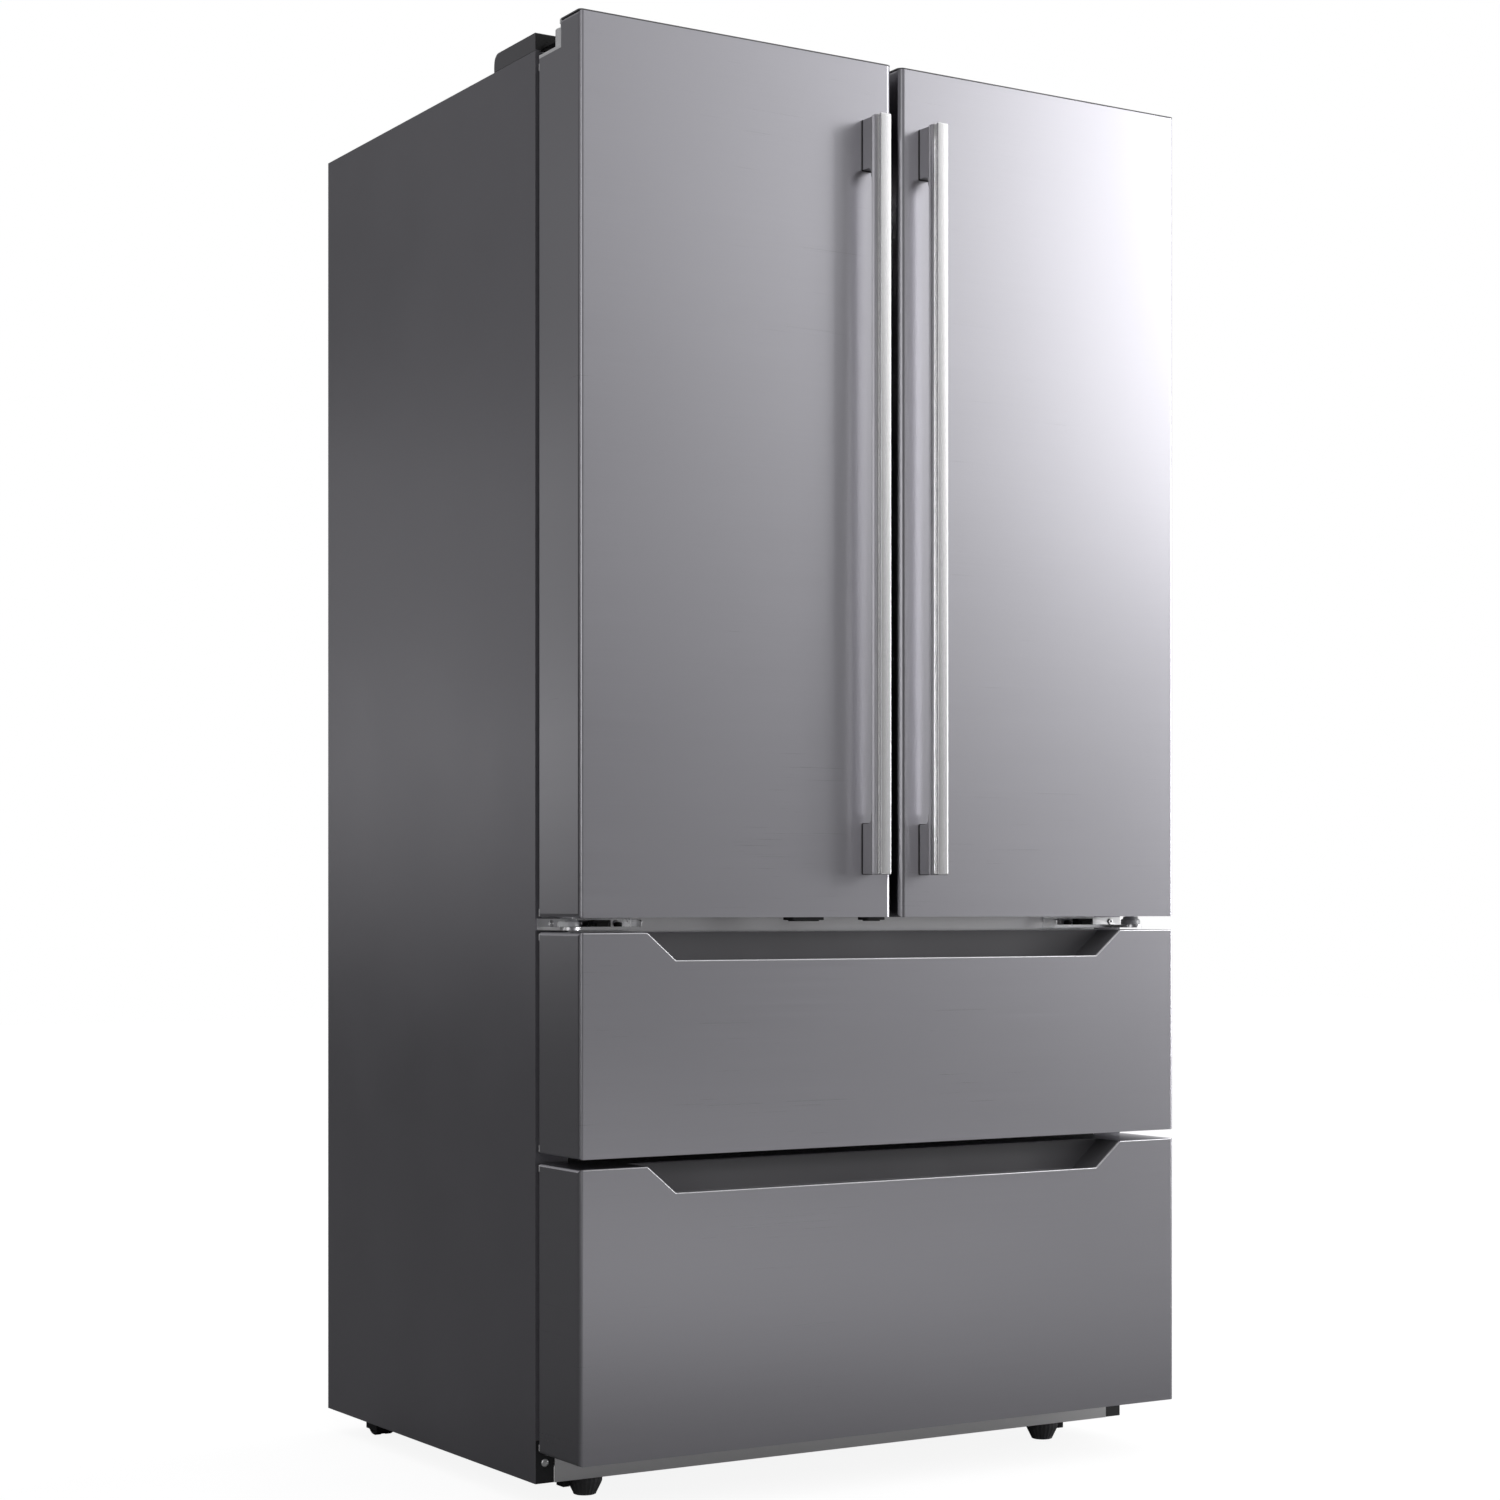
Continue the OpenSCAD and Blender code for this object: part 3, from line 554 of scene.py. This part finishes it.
# ------------------------------------------------------------------ handles: grooved bar on two end blocks
for side, sg in (("left", -1), ("right", 1)):
    c = 43.6 * sg
    half = [(0, -392), (6.6, -392), (7.5, -391.7), (7.9, -390.8), (7.9, -389.4), (6.0, -389.0), (5.9, -386.6), (6.6, -386.2), (7.6, -384.6),
            (8.5, -382.4), (9.1, -380.0), (9.4, -377.6), (9.4, -375.2), (9.1, -373.4), (8.2, -372.1), (6.6, -371.3), (3.0, -371.0)]
    pts = half + [(-u, v) for u, v in reversed(half)]
    pts = pts[:-1]
    bm = bmesh.new()
    z0, z1 = 773, 1722
    loops = []
    for z, k in ((z0, 0.94), (z0 + 0.7, 0.985), (z0 + 1.8, 1.0), (z1 - 1.8, 1.0), (z1 - 0.7, 0.985), (z1, 0.94)):
        loops.append([at("z", c + u * k, -381.5 + (v + 381.5) * k, z) for u, v in pts])
    skin(bm, loops)
    put(side + "_handle_bar", bm, HANDLE, side + "_door", stands_for=(side + "_door_handle",))
    bm = bmesh.new()
    for a, m in ((z0, 1), (z1, -1)):
        prof = [(-371.2, 0.8), (-351.5, 0.8), (-350.0, 2.0), (-350.0, 63.0), (-351.0, 64.0), (-356, 64)] + arc(-362, 72, 8, 270, 180, 6) + [(-370.0, 76), (-371.2, 76)]
        prism(bm, [(y, a + m * z) for y, z in prof], "x", c - 7.9, c + 7.9)
    # the end blocks carry a darker copy of the handle metal as painted shade
    put(side + "_handle_ends", bm, HANDLE_SHADED, side + "_door", 0.0012, 3)
    bm = bmesh.new()
    for a, m in ((z0, 1), (z1, -1)):
        prism(bm, rrect(c - 8.6, min(a + m * 0.2, a + m * 65.2), c + 8.6, max(a + m * 0.2, a + m * 65.2), 2.0, 4), "y", -350.9, -349.6)
    put(side + "_handle_seats", bm, BLACKP, side + "_door")


# ------------------------------------------------------------------ feet with grips, rollers with tread
for side, sg in (("left", -1), ("right", 1)):
    def ribbed(t, r, h):
        if h < 1.5 or h > 26.5 or r < 10:
            return r
        return r - 0.9 * (0.5 - 0.5 * math.cos(22 * t)) ** 0.6
    bm = bmesh.new()
    lathe(bm, [(13.2, 0), (14.3, 0.6), (14.6, 1.6), (16.3, 5), (18.8, 10), (21.0, 14.6), (21.9, 17.2), (22.0, 20), (22.0, 25.4), (21.6, 26.8), (20.6, 27.6), (18.5, 28.0)]
          + [(9.5, 28.0), (9.5, 30.5), (6.0, 31.0)] + [(q, z) for z in range(32, 68, 2) for q in (6.0, 5.3)] + [(5.2, 68)], 358 * sg, -185, "z", 132, ribbed)
    put("foot_grip_" + side, bm, FOOTP, "foot_" + side, stands_for=("leveling_foot_" + side,))
    bm = bmesh.new()
    x = 404.7 * sg
    lathe(bm, [(5.06, x - 13.2), (9.5, x - 13.2), (10.5, x - 12.2), (10.5, x - 9.5), (15.5, x - 9.0), (16.5, x - 12.0), (18.5, x - 13.2), (20.2, x - 12.4), (21.0, x - 11), (21.0, x - 4.5), (20.3, x - 4), (20.3, x + 4),
               (21.0, x + 4.5), (21.0, x + 11), (20.2, x + 12.4), (18.5, x + 13.2), (16.5, x + 12.0), (15.5, x + 9.0), (10.5, x + 9.5), (10.5, x + 12.2), (9.5, x + 13.2), (5.06, x + 13.2)], 320, 21, "x", 64, close=True)
    put("roller_tyre_" + side, bm, BLACKP, "roller_" + side, stands_for=("rear_roller_" + side,))

# ------------------------------------------------------------------ screws with sockets
bm = bmesh.new()
for sg in (-1, 1):
    screw(bm, (441 * sg, -236.2, 55), "y", -1, 5, 1.8)
    for x in (434, 394, 344):
        screw(bm, (x * sg, -239.1, 712.5), "y", -1, 4, 1.9)
    for y in (-196, -161):
        screw(bm, (426 * sg, y, 1782.2), "z", 1, 5, 2.8)
for x in (-400, -200, 0, 200, 400):
    for z in (45, 310):
        screw(bm, (x, 388.0, z), "y", 1, 4.2, 2.2, "cross")
put("screw_heads", bm, CHROME, "cabinet", stands_for=("screws",))

# ------------------------------------------------------------------ closing cams and stops on the middle hinges, pads under the left door
bm = bmesh.new()
for sg in (-1, 1):
    lathe(bm, [(7.3, 708.7), (12.6, 708.7), (13.2, 709.4), (13.2, 714.6), (12.2, 715.6), (10.6, 716.2), (10.2, 718.6), (9.4, 719.4), (7.3, 719.4)], 434 * sg, -284, "z", 48,
          lambda t, r, h: r if r < 8 or h > 716 else r + 0.5 * math.cos(3 * t), close=True)
put("hinge_cams", bm, FRAMEP, "cabinet")
bm = bmesh.new()
for sg in (-1, 1):
    a, b = sorted((388 * sg, 362 * sg))
    prism(bm, rrect(a, -261, b, -247, 2.2, 4), "z", 708.6, 716.8)
    prism(bm, rrect(a + 4, -263.4, b - 4, -247, 1.6, 4), "z", 708.6, 713.4)
    lathe(bm, [(4.6, 708.6), (5.2, 709.2), (5.2, 712.8), (4.4, 713.8), (1.5, 714.1)], 349 * sg, -254, "z", 32)
put("hinge_stops", bm, BLACKP, "cabinet", 0.0006, 2)
bm = bmesh.new()
for a, b in ((-150, -101), (-38, -9)):
    prism(bm, rrect(a, -340, b, -318, 3, 4), "z", 716.2, 720.6)
    prism(bm, rrect(a + 5, -336, b - 5, -322, 2, 4), "z", 714.9, 716.6)
put("left_door_pads", bm, BLACKP, "left_door", 0.0006, 2)

# ------------------------------------------------------------------ rings on the hinge covers
bm = bmesh.new()
for sg in (-1, 1):
    a, b = sorted((376.6 * sg, 453.4 * sg))
    lathe(bm, [(3.4, 1795.2), (6.2, 1795.2), (6.4, 1796.4), (5.2, 1796.9), (3.4, 1796.5)], 400 * sg, -150, "z", 40, close=True)
put("hinge_cover_rings", bm, BLACKP, "cabinet")

# ------------------------------------------------------------------ gaskets: folded magnetic seals
def seal(name, x0, x1, z0, z1, w, body, stands):
    """a frame of seal; across: offset inwards, along: from the door (yr) to the cabinet"""
    ya, yb = -246.0, -236.35
    sec = [(0.6, ya), (w - 0.6, ya), (w - 0.3, ya + 1.0), (w - 1.6, ya + 2.0), (w - 0.2, ya + 3.4), (w - 1.8, ya + 4.9), (w - 0.4, ya + 6.2), (w - 0.4, yb + -1.2), (w - 1.2, yb),
           (1.2, yb), (0.4, yb - 1.2), (0.4, ya + 6.2), (1.9, ya + 4.9), (0.3, ya + 3.4), (1.7, ya + 2.0), (0.4, ya + 1.0)]
    loops = []
    for off, y in sec:
        loops.append([at("y", u, v, y) for u, v in rrect(x0 + off, z0 + off, x1 - off, z1 - off, max(0.4, 15 - off), 5)])
    bm = bmesh.new()
    skin(bm, loops, close=True)
    put(name, bm, GASKET, body, stands_for=(stands,))


seal("left_door_seal", -433, -8.3, 733, 1756, 13, "left_door", "left_door_gasket")
seal("right_door_seal", 8.3, 433, 733, 1756, 13, "right_door", "right_door_gasket")
seal("upper_drawer_seal", -428, 428, 437, 692, 12, "upper_drawer", "upper_drawer_gasket")
seal("lower_drawer_seal", -428, 428, 75, 417, 12, "lower_drawer", "lower_drawer_gasket")


# ------------------------------------------------------------------ door bins, rounded and drafted
def bins(name, sg, rows, body, stands):
    bm = bmesh.new()
    for z0, z1, y1 in rows:
        a, b = sorted((73 * sg, 365 * sg))
        tray(bm, (a, -245.4, z0), (b, y1, z1), 2.6, 13, 5.5, 2.2, 9.0, 6)
        # stiffening beads along the front wall
        for k in (0.42, 0.52):
            z = z0 + (z1 - z0) * k
            prism(bm, rrect(a + 28, z - 1.2, b - 28, z + 1.2, 1.1, 3), "y", y1 - 5.6, y1 - 2.6)
    put(name, bm, BIN, body, stands_for=(stands,))
    bm = bmesh.new()
    for z0, z1, y1 in rows:
        a, b = sorted((73 * sg, 365 * sg))
        prism(bm, rrect(a + 16, z1 - 8.2, b - 16, z1 - 2.2, 1.8, 4), "y", y1 - 1.2, y1 + 0.25)
    put(name + "_trim", bm, SILVER, body, 0.0003, 2)


bins("left_bins", -1, ((800, 895, -188), (1080, 1190, -136), (1390, 1500, -136)), "left_door", "left_door_bins")
bins("right_bins", 1, ((800, 895, -188), (1080, 1190, -136), (1340, 1450, -136)), "right_door", "right_door_bins")
bm = bmesh.new()
block(bm, (73, -245.4, 1560), (365, -146, 1563))
block(bm, (73, -245.4, 1560), (75.6, -146, 1679))
block(bm, (362.4, -245.4, 1560), (365, -146, 1679))
block(bm, (73, -245.4, 1676), (365, -146, 1679))
prism(bm, rrect(73, 1560, 365, 1588, 3, 4), "y", -148.6, -146)
put("dairy_box", bm, BIN, "right_door", 0.0009, 3, stands_for=("right_door_bins",))
bm = bmesh.new()
prism(bm, rrect(76.6, 1591, 361.4, 1671, 5, 5), "y", -155, -151.5)
lathe(bm, [(3.6, 76.6), (3.6, 361.4)], -152, 1668, "x", 28)
for a, b in ((73.2, 77), (361, 364.8)):
    lathe(bm, [(2.1, a), (2.5, a + 0.5), (2.5, b - 0.5), (2.1, b)], -152, 1668, "x", 24)
prism(bm, [(-151.6, 1590.8), (-148.2, 1590.8), (-147.4, 1591.8), (-147.4, 1595.6), (-148.4, 1597), (-149.6, 1594.4), (-151.6, 1594.2)], "x", 180, 260)
put("dairy_door", bm, CRISP, "dairy_flap", 0.0006, 3, stands_for=("dairy_lid",))

# ------------------------------------------------------------------ crispers with a hooked pull, a rim and a slider
for side, sg in (("left", -1), ("right", 1)):
    a, b = sorted((10 * sg, 398 * sg))
    bm = bmesh.new()
    tray(bm, (a, -100, 754), (b, 289, 925), 2.6, 16, 5, 0, 5, 6)
    fa, fb = sorted((4 * sg, 401 * sg))
    ring_o = rrect(fa, -94, fb, 289, 10, 6)
    ring_i = rrect(a + 4, -88, b - 4, 285, 12, 6)
    skin(bm, [[at("z", u, v, z) for u, v in r] for r, z in ((ring_o, 918.5), (ring_o, 921.1), (ring_i, 921.1), (ring_i, 918.5))], close=True)
    ha, hb = sorted((60 * sg, 348 * sg))
    prism(bm, [(-98.4, 924.8), (-107.4, 924.8), (-110.6, 923.6), (-112, 920.6), (-112, 911), (-110.8, 907.6), (-108.4, 906.2), (-106.6, 907.2), (-107.6, 911), (-107.6, 919.4), (-106.2, 921.6), (-98.4, 922)], "x", ha, hb)
    for k in range(7):
        y = -40 + 50 * k
        for x in (a + 2.8, b - 5.4):
            prism(bm, rrect(x, y - 1.5, x + 2.6, y + 1.5, 0.9, 3), "z", 764, 914)
    put("crisper_box_" + side, bm, CRISP, "crisper_drawer_" + side, stands_for=("crisper_" + side,))
    bm = bmesh.new()
    m = 204 * sg
    prism(bm, rrect(m - 46, 872, m + 46, 888, 4, 5), "y", -101.6, -95)
    put("crisper_slider_plate_" + side, bm, FRAMEP, "crisper_drawer_" + side, 0.0005, 2)
    bm = bmesh.new()
    prism(bm, rrect(m - 8, 874.5, m + 8, 885.5, 3, 5), "y", -105.4, -100.6)
    for k in (-4, 0, 4):
        prism(bm, rrect(m + k - 0.7, 876, m + k + 0.7, 884, 0.5, 2), "y", -106.2, -105)
    put("crisper_slider_" + side, bm, GREYP, "crisper_drawer_" + side, 0.0004, 2)

# ------------------------------------------------------------------ freezer baskets: slatted walls on a moulded base
def basket(name, z0, z1, y1, zr, body, stands):
    x1 = 382
    y0 = -225.5
    bm = bmesh.new()
    tray(bm, (-x1, y0, z0), (x1, y1, z0 + 34), 3, 18, 1.0, 0, 4, 6)

    def band(za, zb, out, inn):
        o_ = rrect(-x1 - out, y0 - min(out, 0), x1 + out, y1 + out * 0.7, 18 + out, 6)
        i_ = rrect(-x1 + inn, y0 + inn, x1 - inn, y1 - inn, 18 - inn, 6)
        skin(bm, [[at("z", u, v, z) for u, v in r] for r, z in ((o_, za + 0.8), (o_, zb - 0.8), (i_, zb), (i_, za))], close=True)

    band(z1 - 5, z1, 3.6, 3.2)
    band(z1 - 20, z1 - 4, 0, 3)
    if z1 - z0 > 230:
        m = (z0 + z1) / 2
        band(m - 6, m + 6, 0, 3)
    for k in range(-26, 27):
        x = k * 13.6
        for ya in (y0, y1 - 3):
            prism(bm, rrect(x - 2.6, ya + 0.3, x + 2.6, ya + 2.7, 0.7, 2), "z", z0 + 30, z1 - 15)
    n = int((y1 - y0 - 44) / 13.6)
    for k in range(n + 1):
        y = (y0 + y1) / 2 + (k - n / 2) * 13.6
        for xa in (-x1, x1 - 3):
            prism(bm, rrect(xa + 0.3, y - 2.6, xa + 2.7, y + 2.6, 0.7, 2), "z", z0 + 30, z1 - 15)
    for sx in (-1, 1):
        for sy, yc_ in ((-1, y0 + 18), (1, y1 - 18)):
            base = {(-1, -1): 180, (1, -1): 270, (1, 1): 0, (-1, 1): 90}[(sx, sy)]
            o_ = arc(sx * (x1 - 18), yc_, 18, base, base + 90, 8)
            i_ = arc(sx * (x1 - 18), yc_, 15, base + 90, base, 8)
            prism(bm, o_ + i_, "z", z0 + 30, z1 - 15)
    # ribs on the floor
    for k in range(-9, 10):
        prism(bm, rrect(k * 38 - 1.6, y0 + 24, k * 38 + 1.6, y1 - 24, 1.4, 3), "z", z0 + 2.6, z0 + 4.4)
    for sg in (-1, 1):
        a, b = sorted((379.5 * sg, 395 * sg))
        prism(bm, rrect(a, -216, b, y1 - 12, 2.5, 3), "z", zr, zr + 3)
    put(name, bm, BASKET, body, stands_for=(stands,))


basket("upper_basket", 462, 640, 250, 489.3, "upper_drawer", "upper_drawer_basket")
basket("lower_basket", 112, 392, 138, 239.3, "lower_drawer", "lower_drawer_basket")


# ------------------------------------------------------------------ control buttons and copper pipes
def tube(bm, path, r, n=14):
    loops = []
    pts = [Vector(q) * S for q in path]
    up = Vector((0.3, 0.2, 1)).normalized()
    for i, q in enumerate(pts):
        d = (pts[min(i + 1, len(pts) - 1)] - pts[max(i - 1, 0)]).normalized()
        u = (up - d * up.dot(d)).normalized()
        v = d.cross(u)
        up = u
        loops.append([tuple(q + (u * math.cos(2 * math.pi * k / n) + v * math.sin(2 * math.pi * k / n)) * r * S) for k in range(n)])
    skin(bm, loops)


def smooth(path, k=8):
    """Catmull-Rom through the points"""
    p_ = [Vector(q) for q in path]
    p_ = [p_[0] * 2 - p_[1]] + p_ + [p_[-1] * 2 - p_[-2]]
    out_ = []
    for i in range(1, len(p_) - 2):
        for j in range(k):
            t = j / k
            a, b, c, d = p_[i - 1:i + 3]
            out_.append(0.5 * ((2 * b) + (c - a) * t + (2 * a - 5 * b + 4 * c - d) * t * t + (3 * b - a - 3 * c + d) * t ** 3))
    return out_ + [p_[-2]]


bm = bmesh.new()
for i in range(6):
    lathe(bm, [(4.4, -161.1), (4.6, -160.8), (4.6, -159.5)], -80 + 32 * i, 1721.6, "y", 32)
put("control_buttons", bm, GREYP, "cabinet")
COPPER = metal("copper_pipe", (0.72, 0.36, 0.22), 0.30, (180, 180, 180), 0.14, 0.10, 0.06)
bm = bmesh.new()
tube(bm, smooth([(238, 290, 205), (238, 290, 228), (226, 292, 243), (180, 300, 250), (100, 316, 250), (20, 326, 249), (-40, 332, 244), (-74, 334, 232), (-76, 334, 219)]), 3.2)
tube(bm, smooth([(150, 262, 212), (150, 262, 238), (140, 256, 256), (110, 246, 268), (60, 240, 274), (20, 238, 290), (16, 238, 312)]), 3.0)
put("copper_pipes", bm, COPPER, "cabinet")


# ------------------------------------------------------------------ door caps, folded edges round the drawer pockets
for side, sg in (("left", -1), ("right", 1)):
    e = 0.15
    pts = (arc(6 - e + 8, -350 - e + 8, 8, 180, 270, 8) + arc(454 + e - 5, -350 - e + 5, 5, 270, 360, 6)
           + [(454 + e, -303), (412, -303), (412, -246), (6 - e, -246)])
    if sg < 0:
        pts = [(-u, v) for u, v in reversed(pts)]
    bm = bmesh.new()
    prism(bm, pts, "z", 1795.2, 1797.05)
    put(side + "_door_top_cap", bm, DARKP, side + "_door", 0.0003, 2)
# painted highlight: the folded stainless edge round the drawer pockets is real, but it is coloured much lighter than
# the stainless front to stand for the bright line it catches
EDGE_HIGHLIGHT = metal("folded_edge_highlight", (0.86, 0.855, 0.88), 0.30, (2.2, 2.2, 620), 0.03, 0.03, 0.05)
for nm, z1 in (("upper", 702), ("lower", 421)):
    bm = bmesh.new()
    path = [(-449, -348.9, z1 - 1.3), (-362.6, -348.9, z1 - 1.3), (-361.2, -348.9, z1 - 1.9), (-323.2, -348.9, z1 - 34.0), (-321.6, -348.9, z1 - 34.7),
            (-200, -348.9, z1 - 34.8), (0, -348.9, z1 - 34.8), (200, -348.9, z1 - 34.8), (321.6, -348.9, z1 - 34.7), (323.2, -348.9, z1 - 34.0), (361.2, -348.9, z1 - 1.9), (362.6, -348.9, z1 - 1.3), (449, -348.9, z1 - 1.3)]
    tube(bm, [Vector(q) for q in path], 1.25, 12)
    # the pocket edge carries the painted highlight colour
    put(nm + "_pocket_edge", bm, EDGE_HIGHLIGHT, nm + "_drawer")


# ------------------------------------------------------------------ top hinge barrels, cover fronts, middle hinge hooks, trims round the door notches
bm = bmesh.new()
for sg in (-1, 1):
    lathe(bm, [(10.8, 1763.8), (15.0, 1763.8), (15.5, 1764.4), (15.5, 1789.4), (14.9, 1790.4), (13.0, 1790.9), (10.8, 1790.9)], 434 * sg, -284, "z", 64, close=True)
    lathe(bm, [(0.6, 1790.2), (10.8, 1790.2), (10.8, 1786.0), (0.6, 1786.0)], 434 * sg, -284, "z", 48)
put("top_hinge_barrels", bm, TRIMG, "cabinet")
bm = bmesh.new()
for sg in (-1, 1):
    a, b = sorted((376.8 * sg, 453.4 * sg))
    prism(bm, rrect(a, 1776.4, b, 1796.2, 1.5, 3), "y", -236.15, -234)
put("hinge_cover_fronts", bm, PITCH, "cabinet", 0.0003, 2)
bm = bmesh.new()
for sg in (-1, 1):
    prism(bm, [(-238.6, 708.3), (-238.6, 715.4), (-240.0, 716.8), (-262.0, 716.8), (-264.0, 714.8), (-264.0, 708.3)], "x", *sorted((320.4 * sg, 323.2 * sg)))
put("middle_hinge_hooks", bm, ZINC, "cabinet", 0.0004, 2)
for side, sg in (("left", -1), ("right", 1)):
    bm = bmesh.new()
    prism(bm, [(-246.2, 1762.1), (-302.9, 1762.1), (-302.9, 1776.4), (-301.4, 1776.4), (-301.4, 1768.0), (-299.6, 1766.3), (-246.2, 1766.3)], "x", *sorted((450.6 * sg, 453.95 * sg)))
    prism(bm, [(-302.9, 1783.8), (-301.4, 1783.8), (-301.4, 1790.4), (-302.9, 1790.4)], "x", *sorted((450.6 * sg, 453.95 * sg)))
    prism(bm, rrect(-303.2, 1790.6, -299.4, 1796.8, 0.6, 3), "x", *sorted((444.0 * sg, 453.9 * sg)))
    put(side + "_notch_trim", bm, TRIMG, side + "_door", 0.0003, 2)
